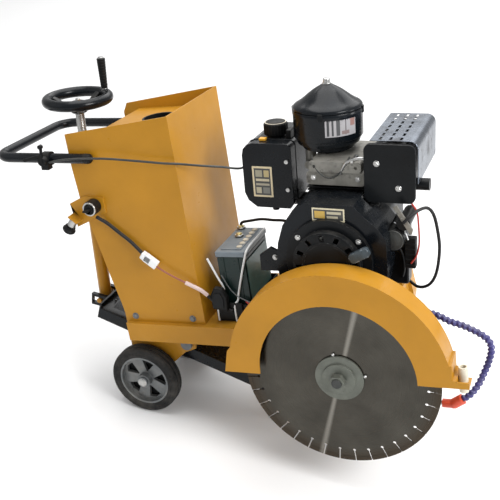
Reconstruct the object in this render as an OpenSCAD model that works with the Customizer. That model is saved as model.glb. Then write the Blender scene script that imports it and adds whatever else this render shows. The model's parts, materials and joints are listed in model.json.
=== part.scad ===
// Walk-behind concrete saw, stored in its transport position.
// +X forward, +Y to the machine's left, +Z up, the floor at Z = 0.
// Every module is drawn in the body's own frame (rear axle above X = 0, deck level)
// and placed() tips it nose-up about the rear axle, as the swing frame does.
// eng() does the same for the engine, which leans forward about its crankshaft.

/* [Stance] */
// Nose-up angle of the body while the blade is carried
body_pitch = 9; // [0:1:12]
// Rear wheel diameter
rear_wheel_d = 212; // [160:1:220]
// Front wheel diameter
front_wheel_d = 160; // [120:5:170]
// Floor distance between the axles
wheelbase = 520; // [500:5:530]

/* [Blade] */
// Cutting blade diameter
blade_d = 500; // [400:10:500]
// Steel core thickness
blade_t = 3.2; // [2.4:0.2:4]
// Arbor diameter through the blade
arbor_d = 25.4; // [20:0.1:30]
// Clamping flange diameter
flange_d = 124; // [100:2:140]
// Diamond segments around the rim
segments = 36; // [24:1:42]
// Height of the blade shaft above the floor line of the body
shaft_z = 240; // [235:1:245]
// Distance of the blade shaft ahead of the rear axle
shaft_x = 647; // [640:1:655]

/* [Chassis] */
// Width over the two tank cheeks
tank_w = 320; // [300:5:340]
// Deck top surface height
deck_z = 297; // [290:1:300]
// Deck width over the side flanges
deck_w = 350; // [340:5:360]
// Deck length
deck_l = 742; // [700:1:760]

/* [Lift] */
// Lift screw diameter
screw_d = 26; // [20:1:28]
// Lift screw lean, forward at the top
screw_lean = 5.7; // [3:0.1:8]
// Hand wheel rim diameter
hand_wheel_d = 197; // [180:1:230]

/* [Controls] */
// Handlebar tube diameter
bar_d = 27; // [24:1:30]
// Handlebar bend radius
bar_bend = 50; // [40:2:80]

/* [Engine] */
// Forward lean of the engine on its rails
engine_lean = 4; // [0:1:6]

/* [Hidden] */
$fn = 64;
yellow = [0.80, 0.56, 0.20];
black = [0.06, 0.07, 0.08];
steel = [0.62, 0.62, 0.60];
rubber = [0.08, 0.08, 0.08];
grey = [0.55, 0.56, 0.56];
rear_r = rear_wheel_d / 2;
front_r = front_wheel_d / 2;
origin_x = 245.6;                      // body frame X of the part's origin
origin_y = -47;                       // body frame Y of the part's origin
cheek = tank_w / 2;                   // outer face of a tank cheek
side = deck_w / 2;                    // outer face of a deck flange
fit = 0.05;                           // radial running clearance

axle_z = 100;                         // rear axle height in the body frame

// front axle, worked back from the floor into the body frame
front_x = wheelbase * cos(body_pitch) + (front_r - rear_r) * sin(body_pitch);
front_z = axle_z - wheelbase * sin(body_pitch) + (front_r - rear_r) * cos(body_pitch);
pivot = [142, 0, 208];                // swing frame pivot
pin = [-184, 0, 292];                 // lift pin at the rear of the swing frame
lift_up = [sin(screw_lean), 0, cos(screw_lean)];
wheel_y = 149.5;                      // rear wheel centre, either side
front_y = 50;                         // front wheel centre, either side
crank = [630, 0, 522];                // engine crankshaft axis
shaft = [shaft_x, 0, shaft_z];        // blade shaft axis
blade_y = -283;                       // blade centre plane
guard_y0 = -310;                      // outer face of the guard
guard_y1 = -240;                      // inner face of the guard
guard_r = 281;                        // guard rim radius
guard_in = 200;                       // guard inner radius
flange_r = flange_d / 2;
arbor_r = arbor_d / 2;
shaft_r = 17.5;
blade_pulley_r = 80;
engine_pulley_r = 55;

// routes of the lines the machine holds, body frame, millimetres
throttle_route = [[-126, -191, 788], [-100, -192, 793], [-60, -192, 796], [0, -192, 796],
    [60, -190, 793], [140, -182, 782], [215, -180, 773], [242, -170, 768], [258, -140, 755],
    [275, -97, 737], [315, -60, 720], [348, -25, 703], [356, 30, 695], [358, 90, 680],
    [368, 158, 650], [430, 168, 620], [500, 155, 580], [540, 126, 560]];
harness_route = [[-24, -180, 627], [-16, -172, 615], [0, -169, 602], [30, -169, 575],
    [60, -169, 548], [95, -172, 510], [130, -176, 478], [170, -176, 452], [210, -174, 430],
    [245, -166, 405], [262, -150, 372], [280, -143, 346], [315, -141, 333]];
starter_route = [[806, -156, 600], [822, -154, 614], [840, -136, 624], [856, -110, 620],
    [868, -101, 600], [875, -100, 560], [877, -100, 508], [866, -100, 446], [846, -98, 411],
    [815, -85, 397], [780, -50, 402], [744, -20, 412]];
battery_route = [[298, 36, 516], [306, 34, 524], [332, 30, 530], [369, 24, 537], [405, 15, 538],
    [446, 0, 542], [480, -20, 540], [512, -30, 535]];
hose_route = [[781.5, -140, 330], [796, -141, 331], [815, -158, 345], [848, -192, 382],
    [882, -212, 387], [912, -214, 373], [944, -214, 362], [977, -214, 345], [998, -214, 327],
    [1004, -214, 303], [997, -214, 270], [986, -217, 240], [971, -226, 208], [953, -233, 185],
    [936, -234, 172]];
pipe_y = -234;                        // spray pipe, against the guard's inner face
hose_end = hose_route[len(hose_route) - 1];

// ---------- helpers ----------
module placed() translate([-origin_x, -origin_y, rear_r]) rotate([0, -body_pitch, 0])
    translate([0, 0, -axle_z]) children();
module lean() translate(crank) rotate([0, engine_lean, 0]) translate(-crank) children();
module eng() placed() lean() children();
module box(a, b) translate(a) cube(b - a);
module ycyl(r, y0, y1, x = 0, z = 0) translate([x, y0, z]) rotate([-90, 0, 0])
    cylinder(r = r, h = y1 - y0);
module xcyl(r, x0, x1, y = 0, z = 0) translate([x0, y, z]) rotate([0, 90, 0])
    cylinder(r = r, h = x1 - x0);
module zcyl(r, z0, z1, x = 0, y = 0) translate([x, y, z0]) cylinder(r = r, h = z1 - z0);
module prism(y0, y1, pts) translate([0, y1, 0]) rotate([90, 0, 0])
    linear_extrude(y1 - y0) polygon(pts);
module rod(p, q, r) {
    d = q - p;
    translate(p) rotate([0, acos(d[2] / norm(d)), atan2(d[1], d[0])])
        cylinder(r = r, h = norm(d));
}
module soft(x0, x1, z0, z1, y0, y1, r) {      // rounded in XZ, straight along Y
    box([x0 + r, y0, z0], [x1 - r, y1, z1]);
    box([x0, y0, z0 + r], [x1, y1, z1 - r]);
    for (x = [x0 + r, x1 - r], z = [z0 + r, z1 - r]) ycyl(r, y0, y1, x, z);
}
module hex_bolt(p, dir, r = 8, h = 6) {       // washer and hexagon head, dir = -1 or 1 along Y
    translate(p) rotate([dir * -90, 0, 0]) {
        cylinder(r = r * 1.4, h = 2);
        translate([0, 0, 2]) cylinder(r = r, h = h, $fn = 6);
    }
}

// smooth line through a route, then a closed tube round it
function cat(a, b, c, d, t) = 0.5 * (2 * b + t * (c - a) + t * t * (2 * a - 5 * b + 4 * c - d)
    + t * t * t * (3 * b - a - 3 * c + d));
function at(p, i) = p[max(0, min(len(p) - 1, i))];
function smooth(p, n) = concat([for (i = [0:len(p) - 2], k = [0:n - 1])
    cat(at(p, i - 1), at(p, i), at(p, i + 1), at(p, i + 2), k / n)], [p[len(p) - 1]]);
function unit(v) = v / norm(v);
function tangent(p, i) = unit(at(p, i + 1) - at(p, i - 1));
function ring(p, i, r, n) = let (t = tangent(p, i), u = unit(cross(t, [0.25, 0.95, 0.1])),
    w = cross(t, u)) [for (k = [0:n - 1]) p[i] + r * (cos(360 * k / n) * u + sin(360 * k / n) * w)];
module tube(route, r, steps = 4, n = 10) {
    p = smooth(route, steps);
    m = len(p);
    pts = [for (i = [0:m - 1]) each ring(p, i, r, n)];
    faces = concat([[for (k = [0:n - 1]) k]],
        [for (i = [0:m - 2], k = [0:n - 1]) let (a = i * n + k, b = i * n + (k + 1) % n)
            [a, a + n, b + n, b]],
        [[for (k = [n - 1:-1:0]) (m - 1) * n + k]]);
    polyhedron(pts, faces, convexity = 6);
}

// ---------- welded chassis ----------
module deck() color(yellow) placed() difference() {
    union() {
        box([-12, -side, deck_z - 5], [deck_l - 12, side, deck_z]);
        for (s = [-1, 1]) {
            y0 = s < 0 ? -side : side - 5;
            box([-12, y0, 240], [deck_l - 12, y0 + 5, deck_z - 5]);
            b0 = s < 0 ? -121 : 113;
            prism(b0, b0 + 8, [[-45, deck_z - 5], [168, deck_z - 5], [166, 192], [130, 178],
                [60, 120], [24, 72], [-24, 72], [-48, 130]]);
            e0 = s < 0 ? -110 : 60;                       // engine rails
            box([390, e0, deck_z], [730, e0 + 50, 365]);
        }
        box([-45, -121, deck_z - 5], [-12, 121, deck_z]);
        box([725, -side, 240], [730, side, deck_z - 5]);
    }
    for (s = [-1, 1]) {
        e0 = s < 0 ? -106 : 64;
        box([380, e0, deck_z + 4], [740, e0 + 42, 361]);
        ycyl(30, s < 0 ? -side - 1 : side - 6, s < 0 ? -side + 6 : side + 1, shaft_x, shaft_z);
    }
    ycyl(10, -125, 125, 0, axle_z);
    ycyl(12, -125, 125, pivot[0], pivot[2]);
    zcyl(16, 285, 300, 200, 0);
    xcyl(7, 715, 740, 0, 271);
}

tank_out = [[-24, 838], [234, 838], [234, deck_z], [34, deck_z], [14, 437], [-24, 640]];
tank_in = [[-20, 834], [230, 834], [230, deck_z + 4], [38, deck_z + 4], [18, 437.5], [-20, 640.5]];
cheek_pts = [[-79, 855], [234, 888], [234, deck_z], [-14, deck_z], [-21, 349], [-38, 437],
    [-78, 676], [-81, 763]];
far_pts = [[-44, 858], [234, 888], [234, deck_z], [-14, deck_z], [-21, 349], [-38, 437],
    [-78, 676], [-79, 830], [-64, 856]];
module water_tank() color(yellow) placed() difference() {
    union() {
        prism(-cheek + 4, cheek - 4, tank_out);
        prism(-cheek, -cheek + 4, cheek_pts);
        prism(cheek - 4, cheek, far_pts);
        box([230, -cheek + 4, 838], [234, cheek - 4, 888]);
        translate(pin) rotate([0, screw_lean, 0]) {        // lift screw bearing arm
            zcyl(30, 482, 514);
            box([0, -30, 484], [114, -24, 512]);
            box([0, 24, 484], [114, 30, 512]);
        }
        zcyl(16, 283, deck_z, 200, 0);                      // outlet boss through the deck
    }
    prism(-cheek + 8, cheek - 8, tank_in);
    zcyl(42, 830, 840, 165, -72);                           // filler
    translate(pin) rotate([0, screw_lean, 0]) zcyl(screw_d / 2 + fit, 470, 530);
    zcyl(7, 280, 305, 200, 0);
}

module axle_pins() color(steel) placed() {
    ycyl(10, -177, 177, 0, axle_z);
    for (y = [-181, 176]) ycyl(15, y, y + 5, 0, axle_z);
    ycyl(12, -126, 126, pivot[0], pivot[2]);
    for (y = [-132, 121]) ycyl(17, y, y + 11, pivot[0], pivot[2]);
}
// ---------- handlebar ----------
bar_y = cheek + bar_d / 2;
module handlebar() color(black) placed() translate([-11, 0, 790]) rotate([0, 2.6, 0]) {
    back = -300;
    for (s = [-1, 1]) {
        xcyl(bar_d / 2, back + bar_bend, 0, s * bar_y, 0);
        translate([0, s * bar_y, 0]) sphere(r = bar_d / 2);
        translate([back + bar_bend, s * (bar_y - bar_bend), 0]) rotate([0, 0, s < 0 ? 180 : 90])
            rotate_extrude(angle = 90) translate([bar_bend, 0]) circle(r = bar_d / 2);
    }
    ycyl(bar_d / 2, -bar_y + bar_bend, bar_y - bar_bend, back, 0);
    for (x = [-50, -14]) {                                  // studs into the cheeks
        ycyl(8, -bar_y, -cheek, x, 0);
        ycyl(8, cheek, bar_y, x, 0);
    }
}

// ---------- wheels ----------
module tyre(r, w) rotate([90, 0, 0]) rotate_extrude() polygon([[r * 0.74, -w / 2 + 4],
    [r * 0.8, -w / 2], [r - 8, -w / 2], [r - 2, -w / 2 + 5], [r, -w / 2 + 11], [r, w / 2 - 11],
    [r - 2, w / 2 - 5], [r - 8, w / 2], [r * 0.8, w / 2], [r * 0.74, w / 2 - 4]]);
module hub(r, w, bore, spokes) difference() {
    rim = r * 0.74;
    union() {
        difference() {
            ycyl(rim, -w / 2 + 5, w / 2 - 5);
            ycyl(rim - 6, -w / 2 - 1, w / 2 + 1);
        }
        ycyl(rim - 5, -6, 6);
        ycyl(bore + 11, -w / 2 + 1, w / 2 - 1);
    }
    for (k = [0:spokes - 1]) rotate([0, k * 360 / spokes, 0])    // windows between the spokes
        prism(-w, w, [[bore + 16, -2], [rim * 0.76, -rim * 0.25], [rim - 11, 0],
            [rim * 0.76, rim * 0.25], [bore + 16, 2]]);
    ycyl(bore + fit, -w, w);
}
module rear_wheel_at(s) placed() translate([0, s * wheel_y, axle_z]) children();
module front_wheel_at(s) placed() translate([front_x, s * front_y, front_z]) children();
module rear_tyre_right() color(rubber) rear_wheel_at(-1) tyre(rear_r, 50);
module rear_tyre_left() color(rubber) rear_wheel_at(1) tyre(rear_r, 50);
module rear_hub_right() color(grey) rear_wheel_at(-1) hub(rear_r, 52, 10, 5);
module rear_hub_left() color(grey) rear_wheel_at(1) hub(rear_r, 52, 10, 5);
module front_tyre_right() color(rubber) front_wheel_at(-1) tyre(front_r, 38);
module front_tyre_left() color(rubber) front_wheel_at(1) tyre(front_r, 38);
module front_hub_right() color(grey) front_wheel_at(-1) hub(front_r, 42, 10, 5);
module front_hub_left() color(grey) front_wheel_at(1) hub(front_r, 42, 10, 5);

// ---------- swing frame ----------
rail_a = [-150, 0, 287];
rail_b = [front_x, 0, front_z + 13];
rail_dir = atan2(rail_b[2] - rail_a[2], rail_b[0] - rail_a[0]);
rail_l = norm(rail_b - rail_a);
ear_dir = atan2(pin[2] - pivot[2], pin[0] - pivot[0]);
ear_r = norm(pin - pivot);
module swing_frame() color(black) placed() difference() {
    union() {
        for (s = [-1, 1]) {
            y0 = s < 0 ? -105 : 75;
            translate(rail_a) rotate([0, -rail_dir, 0]) box([0, y0, -17], [rail_l + 20, y0 + 30, 17]);
            ycyl(24, y0 - 1, y0 + 31, pivot[0], pivot[2]);
            ycyl(23, y0 - 1, y0 + 31, front_x, front_z);
            translate(pivot) rotate([0, -rail_dir, 0]) box([-20, y0 + 3, -40], [20, y0 + 27, 0]);
        }
        translate(rail_a) rotate([0, -rail_dir, 0]) {
            box([0, -105, -17], [32, 105, 17]);                    // rear cross member
            box([0, -105, 10], [5, 105, 34]);                      // raised rear lip
            box([0, -104, 12.5], [440, 104, 16.5]);                // top plate
            box([425, -105, -12], [450, 105, 12]);
        }
        translate(pivot) rotate([0, -ear_dir, 0]) for (y = [-40, 28])
            box([ear_r - 60, y, -19], [ear_r + 27, y + 12, 19]);
        ycyl(10, -109, 109, front_x, front_z);
    }
    for (s = [-1, 1], x = [[44, 265], [340, rail_l - 36]]) translate(rail_a)
        rotate([0, -rail_dir, 0]) box([x[0], s < 0 ? -101 : 79, -13], [x[1], s < 0 ? -79 : 101, 12]);
    ycyl(12 + fit, -110, 110, pivot[0], pivot[2]);
    translate(pivot) rotate([0, -ear_dir, 0]) box([ear_r - 13, -50, -10.4], [ear_r + 23, 50, 10.4]);
}

// ---------- lift screw ----------
module lift_at() placed() translate(pin) rotate([0, screw_lean, 0]) children();
module lift_tube() color(yellow) lift_at() difference() {
    union() {
        zcyl(19, -14, 470);
        ycyl(8, -42, 42);
    }
    zcyl(13.5, 12, 430);
    zcyl(screw_d / 2 + fit, 420, 480);
}
module lift_screw() color(steel) lift_at() {
    zcyl(screw_d / 2, 262, 612);
    zcyl(18, 472, 481.7);
    zcyl(18, 514.3, 524);
}
grip_r = hand_wheel_d / 2 - 14;
grip_a = 55;                          // where the crank grip stands on the rim
module hand_wheel() color(black) lift_at() difference() {
    union() {
        translate([0, 0, 624]) rotate_extrude() translate([hand_wheel_d / 2 - 13, 0]) circle(r = 13);
        zcyl(24, 586, 618);
        for (k = [0:2]) rotate([0, 0, k * 120 - 50]) hull() {
            translate([20, -11, 590]) cube([2, 22, 12]);
            translate([hand_wheel_d / 2 - 24, -9, 616]) cube([6, 18, 9]);
        }
        rotate([0, 0, grip_a]) zcyl(10, 612, 640, grip_r, 0);
        rotate([0, 0, grip_a]) zcyl(5, 630, 728, grip_r, 0);
        rotate([0, 0, grip_a]) zcyl(8, 724.5, 728, grip_r, 0);
    }
    zcyl(screw_d / 2, 580, 612);
}
module crank_grip() color(black) lift_at() rotate([0, 0, grip_a])
    translate([grip_r, 0, 0]) difference() {
        translate([0, 0, 640.5]) cylinder(r1 = 9, r2 = 11.5, h = 83.5);
        zcyl(5 + fit, 635, 730);
    }

// ---------- blade drive ----------
module arbor_shaft() color(steel) placed() {
    ycyl(shaft_r, -268, 216, shaft_x, shaft_z);
    ycyl(arbor_r - fit, -318, -268, shaft_x, shaft_z);
}
module blade() color([0.32, 0.30, 0.27]) placed() translate([shaft_x, blade_y, shaft_z])
    rotate([90, 0, 0]) difference() {
        union() {
            translate([0, 0, -blade_t / 2]) cylinder(r = blade_d / 2 - 10, h = blade_t, $fn = 180);
            difference() {
                translate([0, 0, -2.2]) cylinder(r = blade_d / 2, h = 4.4, $fn = 180);
                translate([0, 0, -3]) cylinder(r = blade_d / 2 - 11, h = 6, $fn = 180);
            }
        }
        for (k = [0:segments - 1]) rotate(k * 360 / segments + 4) {
            translate([blade_d / 2 - 30, -1.5, -4]) cube([40, 3, 8]);
            translate([blade_d / 2 - 31, 0, -4]) cylinder(r = 4, h = 8);
        }
        translate([0, 0, -4]) cylinder(r = arbor_r, h = 8);
        translate([38, 0, -4]) cylinder(r = 5, h = 8);
    }
module flange_set() color(grey) placed() difference() {
    union() {
        ycyl(flange_r, blade_y + blade_t / 2, blade_y + blade_t / 2 + 4, shaft_x, shaft_z);
        ycyl(flange_r - 16, blade_y + 5, -268, shaft_x, shaft_z);
        ycyl(flange_r, blade_y - blade_t / 2 - 6, blade_y - blade_t / 2, shaft_x, shaft_z);
        ycyl(flange_r - 20, blade_y - blade_t / 2 - 11, blade_y - blade_t / 2 - 5, shaft_x, shaft_z);
        translate([shaft_x, -315, shaft_z]) rotate([-90, 0, 0]) cylinder(r = 20, h = 18, $fn = 6);
    }
    ycyl(arbor_r, -330, -260, shaft_x, shaft_z);
}
module pulley(r, y0) difference() {
    ycyl(r, y0, y0 + 34);
    for (y = [y0 + 4, y0 + 18]) difference() {
        ycyl(r + 1, y, y + 12);
        ycyl(r - 11, y - 1, y + 13);
    }
}
module blade_pulley() color(grey) placed() difference() {
    translate([shaft_x, 0, shaft_z]) pulley(blade_pulley_r, 182);
    ycyl(shaft_r, 170, 230, shaft_x, shaft_z);
}
module engine_pulley() color(grey) placed() difference() {
    translate([crank[0], 0, crank[2]]) pulley(engine_pulley_r, 182);
    ycyl(12.5, 170, 230, crank[0], crank[2]);
}
module crankshaft() color(steel) placed() {
    ycyl(12.5, -196, 217, crank[0], crank[2]);
    difference() {
        ycyl(92, -180, -140, crank[0], crank[2]);
        for (k = [0:15]) translate([crank[0], 0, crank[2]]) rotate([0, k * 22.5, 0])
            box([56, -182, -4], [86, -152, 4]);
    }
}
module belt_line(r1, r2, grow) {                // flat outline round both pulleys
    v = crank - shaft;
    d = norm(v);
    a = asin((r1 - r2) / d);
    translate([shaft_x, shaft_z]) rotate(atan2(v[2], v[0]) - 90) {
        circle(r = r1 + grow);
        translate([0, d]) circle(r = r2 + grow);
        hull() for (q = [[0, r1], [d, r2]], k = [-1, 1]) let (w = (q[1] + grow) * 0.998)
            translate([k * w * cos(a), q[0] + w * sin(a)]) square(0.01, center = true);
    }
}
module belt_solid(y0, y1, grow) translate([0, y1, 0]) rotate([90, 0, 0]) linear_extrude(y1 - y0)
    belt_line(blade_pulley_r, engine_pulley_r, grow);
module v_belts() color(rubber) placed() for (y = [187, 201]) difference() {
    belt_solid(y, y + 10, -3);
    belt_solid(y - 1, y + 11, -10.5);
}
module belt_cover() color(yellow) placed() difference() {
    union() {
        belt_solid(side + 1, 224, 16);
        box([540, side, 255], [600, side + 4, 290]);
        box([690, side, 255], [730, side + 4, 290]);
    }
    belt_solid(side + 4, 221, 12);
    ycyl(shaft_r + 2, 170, 185, shaft_x, shaft_z);
    ycyl(16, 170, 185, crank[0], crank[2]);
}
module pillow_blocks() color([0.25, 0.27, 0.25]) placed() for (y0 = [-165, 127]) difference() {
    union() {
        ycyl(42, y0, y0 + 38, shaft_x, shaft_z);
        box([shaft_x - 40, y0, shaft_z], [shaft_x + 40, y0 + 38, deck_z - 5]);
        box([shaft_x - 72, y0, deck_z - 21], [shaft_x + 72, y0 + 38, deck_z - 5]);
    }
    ycyl(shaft_r + fit, y0 - 1, y0 + 39, shaft_x, shaft_z);
}

// ---------- blade guard ----------
module guard_outline(r_out, r_in, foot) difference() {
    union() {
        intersection() {
            circle(r = r_out);
            translate([-r_out, 0]) square([2 * r_out, r_out]);
        }
        polygon([[-r_out - 16, foot], [-r_out - 1, 60], [-r_out * 0.9, 90], [-r_out * 0.7, foot]]);
        translate([r_out - 82, foot]) square([92, 20]);
        translate([r_out - 82, foot]) square([82, 60]);
    }
    circle(r = r_in);
}
module guard_slice(y0, y1, r_out, r_in, foot) translate([shaft_x - 2, y1, shaft_z + 10])
    rotate([90, 0, 0]) linear_extrude(y1 - y0) guard_outline(r_out, r_in, foot);
module blade_guard() color(yellow) placed() difference() {
    union() {
        guard_slice(guard_y0, guard_y1, guard_r, guard_in, -1);
        box([352, guard_y1, 262], [430, -side, 290]);
        box([690, guard_y1, 262], [722, -side, 290]);
        box([690, guard_y1, 262], [880, guard_y1 + 6, 290]);
        box([930, guard_y0, 249], [964, guard_y0 + 4, 266]);          // foot round the socket
        box([930, guard_y0, 249], [964, -262, 252]);
    }
    zcyl(11, 200, 300, 947, -279);
    difference() {
        guard_slice(guard_y0 + 4, guard_y1 - 4, guard_r - 4, guard_in - 1, -2);
        box([930, guard_y0, 249], [964, -262, 252]);
    }
}
module spray_pipe() color(steel) placed() {
    rod([872, pipe_y, 262], [872, pipe_y, 155], 6);
    translate([872, pipe_y, 155]) sphere(r = 6);
    rod([872, pipe_y, 155], [898, pipe_y, 155], 6);
}
module pointer_socket() color([0.8, 0.76, 0.66]) placed() difference() {
    zcyl(11, 225, 292, 947, -279);
    zcyl(7, 220, 300, 947, -279);
}

// ---------- engine ----------
module crankcase() color(black) placed() difference() {
    union() {
        lean() {
            soft(520, 745, 382, 620, -60, 120, 34);
            ycyl(70, 112, 134, crank[0], crank[2]);
            soft(560, 700, 590, 630, -60, 110, 10);
            box([425, 20, 572], [575, 80, 586]);            // fuel tank bracket
            zcyl(17, 440, 490, 512, -20);                   // oil filler boss
        }
        box([505, -115, 365], [760, -55, 380]);
        box([505, 55, 365], [760, 115, 380]);
        box([545, -58, 368], [720, 118, 400]);
    }
    ycyl(12.5 + fit, -70, 140, crank[0], crank[2]);
}
module cylinder_block() color(black) eng() {
    soft(560, 692, 630, 681, -86, 86, 8);
    for (z = [636:8:672]) box([548, -98, z], [704, 98, z + 3]);
}
module cylinder_head() color(grey) eng() {
    soft(552, 700, 681, 716, -112, 80, 10);
    difference() {
        soft(560, 692, 716, 744, -118, 60, 9);
        for (x = [574, 678]) ycyl(4, -120, -112, x, 730);
    }
}
module fan_shroud() color(black) eng() difference() {
    union() {
        prism(-200, -60, [[569, 665], [692, 665], [700, 656], [715, 640], [748, 612], [768, 584],
            [772, 500], [760, 440], [735, 396], [530, 396], [500, 430], [490, 500], [497, 556],
            [512, 604], [540, 645]]);
        prism(-124, -114, [[415, 436], [415, 481], [445, 505], [468, 495], [502, 480],
            [502, 440]]);                                   // cable bracket
    }
    ycyl(98, -196, -59, crank[0], crank[2]);
    ycyl(84, -201, -190, crank[0], crank[2]);
    box([530, -100.5, 628], [740, -50, 700]);
    box([694, -130, 634], [800, -50, 700]);
    ycyl(30, -152, -55, 774, 563);
}
module recoil_cover() color(black) eng() translate([crank[0], 0, crank[2]]) difference() {
    union() {
        ycyl(108, -214, -200);
        ycyl(84, -235, -214);
        difference() {
            ycyl(60, -237.5, -234);
            ycyl(54, -238, -235);
        }
    }
    ycyl(80, -231, -199);
    for (k = [0:11]) rotate([0, -k * 30 - 8, 0]) box([62, -240, -6], [78, -225, 6]);
    ycyl(5, -240, -225, 66, 33);                            // rope eye
}
module starter_handle() color(steel) eng() {
    translate([715, 0, 561]) rotate([0, -30, 0]) soft(-26, 26, -12, 12, -250, -238, 8);
    ycyl(2, -238, -204, 696, 555);
}
module fuel_tank() color(black) eng() difference() {
    union() {
        prism(-50, 150, [[390, 586], [366, 604], [357, 626], [357, 728], [361, 745], [372, 757],
            [388, 762], [480, 762], [489, 758], [493, 750], [493, 600], [483, 586]]);
        zcyl(24, 757, 784, 430, 24);
        zcyl(9, 562, 588, 424, 0);                          // drain plug
    }
    prism(-46, 146, [[391, 590], [370, 606], [361, 627], [361, 727], [365, 743], [374, 753],
        [389, 758], [479, 758], [486, 755], [489, 749], [489, 602], [481, 590]]);
    zcyl(20, 745, 790, 430, 24);
}
module fuel_cap() color(black) eng() difference() {
    zcyl(32, 767, 802, 430, 24);
    zcyl(24 + fit, 760, 785, 430, 24);
    for (k = [0:11]) translate([430, 24, 0]) rotate(k * 30) zcyl(3, 764, 804, 33, 0);
}
module intake_elbow() color(grey) eng() {
    zcyl(14, 690, 750, 534, -10);
    ycyl(11, -34, 14, 534, 704);
    xcyl(12, 530, 552, -10, 700);
}
module air_cleaner() color(black) eng() {
    zcyl(66, 750, 764, 582, -6);
    zcyl(80, 764, 778, 582, -6);
    zcyl(88, 778, 850, 582, -6);
}
module air_cleaner_dome() color(black) eng() translate([582, -6, 0]) rotate_extrude()
    polygon([[0, 850], [90, 850], [88, 856], [82, 861], [69, 868], [55, 879], [41, 890],
        [27, 899], [15, 906], [11, 908], [0, 908]]);
module cleaner_nut() color(black) eng() translate([582, -6, 0]) {
    zcyl(12, 908.3, 911);
    zcyl(9, 911, 923);
}
module muffler() color(black) eng() {
    soft(708, 815, 656, 785, -112, 124, 24);
    soft(700, 823, 648, 793, -124, -112, 16);
    xcyl(16, 700, 715, 0, 698);
    for (y = [-60, 70]) zcyl(6, 780, 796.8, 762, y);
    xcyl(15, 812, 847, -60, 677);
}
module muffler_shield() color(steel) eng() difference() {
    soft(690, 828, 640, 799, -110, 130, 22);
    soft(680, 826, 630, 797, -111, 131, 20);
    box([600, -120, 600], [712, 140, 820]);
    box([600, -120, 600], [840, 140, 694]);
    for (x = [735, 760, 785], y = [-92:34:112]) box([x - 3, y - 11, 780], [x + 3, y + 11, 810]);
}
module starter_motor() color(black) eng() {
    ycyl(28, -150, -60, 774, 563);
    ycyl(16, -150, -62, 800, 606);
    box([778, -140, 575], [800, -70, 600]);
    box([745, -60, 540], [800, -50, 590]);
}

// ---------- battery ----------
module battery() color([0.28, 0.42, 0.40]) placed() {
    soft(283, 363, 317, 484, -118, 48, 5);
    soft(281, 365, 484, 500, -120, 50, 5);
    zcyl(8, 500, 511, 314, -20);
    zcyl(8, 500, 511, 298, 36);
}
module battery_tray() color(black) placed() difference() {
    box([262, -134, deck_z], [376, 66, 350]);
    box([265, -131, 317], [373, 63, 360]);
}

// ---------- operator controls ----------
stop_at = [-96, -181, 621];
module switch_bracket() color(yellow) placed() {
    prism(-164, -160, [[-113, 660], [-60, 682], [-2, 676], [-2, 632], [-50, 612], [-104, 591]]);
    translate(stop_at) rotate([0, -139, 0]) box([-16, -14, -3.5], [16, 19, 0.5]);
}
module switch_bodies() color(black) placed() {
    ycyl(21, -196, -164, -32, 655);
    translate(stop_at) rotate([0, -139, 0]) difference() {
        zcyl(12, 0.5, 24);
        zcyl(4 + fit, 4, 30);
    }
}
module switch_key() color(steel) placed() translate([-32, 0, 655]) {
    ycyl(13, -202, -196.1);
    box([-9, -216, -2.5], [9, -202, 2.5]);
}
module stop_knob() color(black) placed() translate(stop_at) rotate([0, -139, 0]) {
    zcyl(4, 6, 30);
    zcyl(14.5, 29, 38);
    zcyl(18.5, 36, 47);
}
lever_at = [-138, -bar_y, 795.77];
module lever_clamp() color(black) placed() translate(lever_at) rotate([0, 2.6, 0]) difference() {
    union() {
        xcyl(bar_d / 2 + 5, -11, 11);
        box([-11, -24, -26], [11, -4, -6]);
        ycyl(11, -28, -17);
    }
    xcyl(bar_d / 2 + 0.1, -12, 12);
    ycyl(4 + fit, -40, -16.5);
}
module throttle_lever() color(black) placed() translate(lever_at) rotate([0, 2.6, 0]) {
    ycyl(4, -36, -19);
    ycyl(12, -34, -28.3);
    rotate([0, -14, 0]) translate([0, 0, 16]) box([-56, -33, -4], [4, -29, 4]);
    rotate([0, -14, 0]) box([-4, -33, 0], [4, -29, 19]);
    rotate([0, 8, 0]) box([-4, -33, 0], [3, -29, 44]);
    rotate([0, 8, 0]) ycyl(6, -38, -28.3, 0, 42);
}
module decomp_lever() color(steel) eng() {
    zcyl(6, 744.1, 752, 672, -84);
    box([670, -128, 748], [674, -84, 752]);
    zcyl(4, 747, 754, 672, -128);
}
// ---------- water ----------
module water_valve() color(steel) placed() difference() {
    union() {
        box([742, -158, 316], [766, -122, 342]);
        zcyl(7, 342, 350, 754, -140);
        xcyl(9, 766, 780, -140, 330);
        rod([200, 0, 283], [200, 0, 271], 7);               // feed from the tank outlet
        rod([200, 0, 271], [754, 0, 271], 7);
        rod([754, 0, 271], [754, 0, 330], 7);
        rod([754, 0, 330], [754, -123, 330], 7);
        for (p = [[200, 0, 271], [754, 0, 271], [754, 0, 330]]) translate(p) sphere(r = 7);
    }
    zcyl(3.5 + fit, 336, 352, 754, -140);
}
module valve_lever() color([0.7, 0.12, 0.08]) placed() {
    zcyl(3.5, 340, 356, 754, -140);
    box([748, -146, 352], [800, -134, 355]);
}
module hose_couplings() color([0.8, 0.25, 0.12]) placed() difference() {
    elbow = [912, pipe_y, 155];
    union() {
        rod([886, pipe_y, 155], elbow, 11);
        rod(elbow, hose_end - 1.2 * unit(hose_end - elbow), 13);
        translate(elbow) sphere(r = 12);
    }
    rod([880, pipe_y, 155], [898, pipe_y, 155], 6);
}
module water_hose() color([0.14, 0.12, 0.38]) placed() tube(hose_route, 9, 5, 12);

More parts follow.
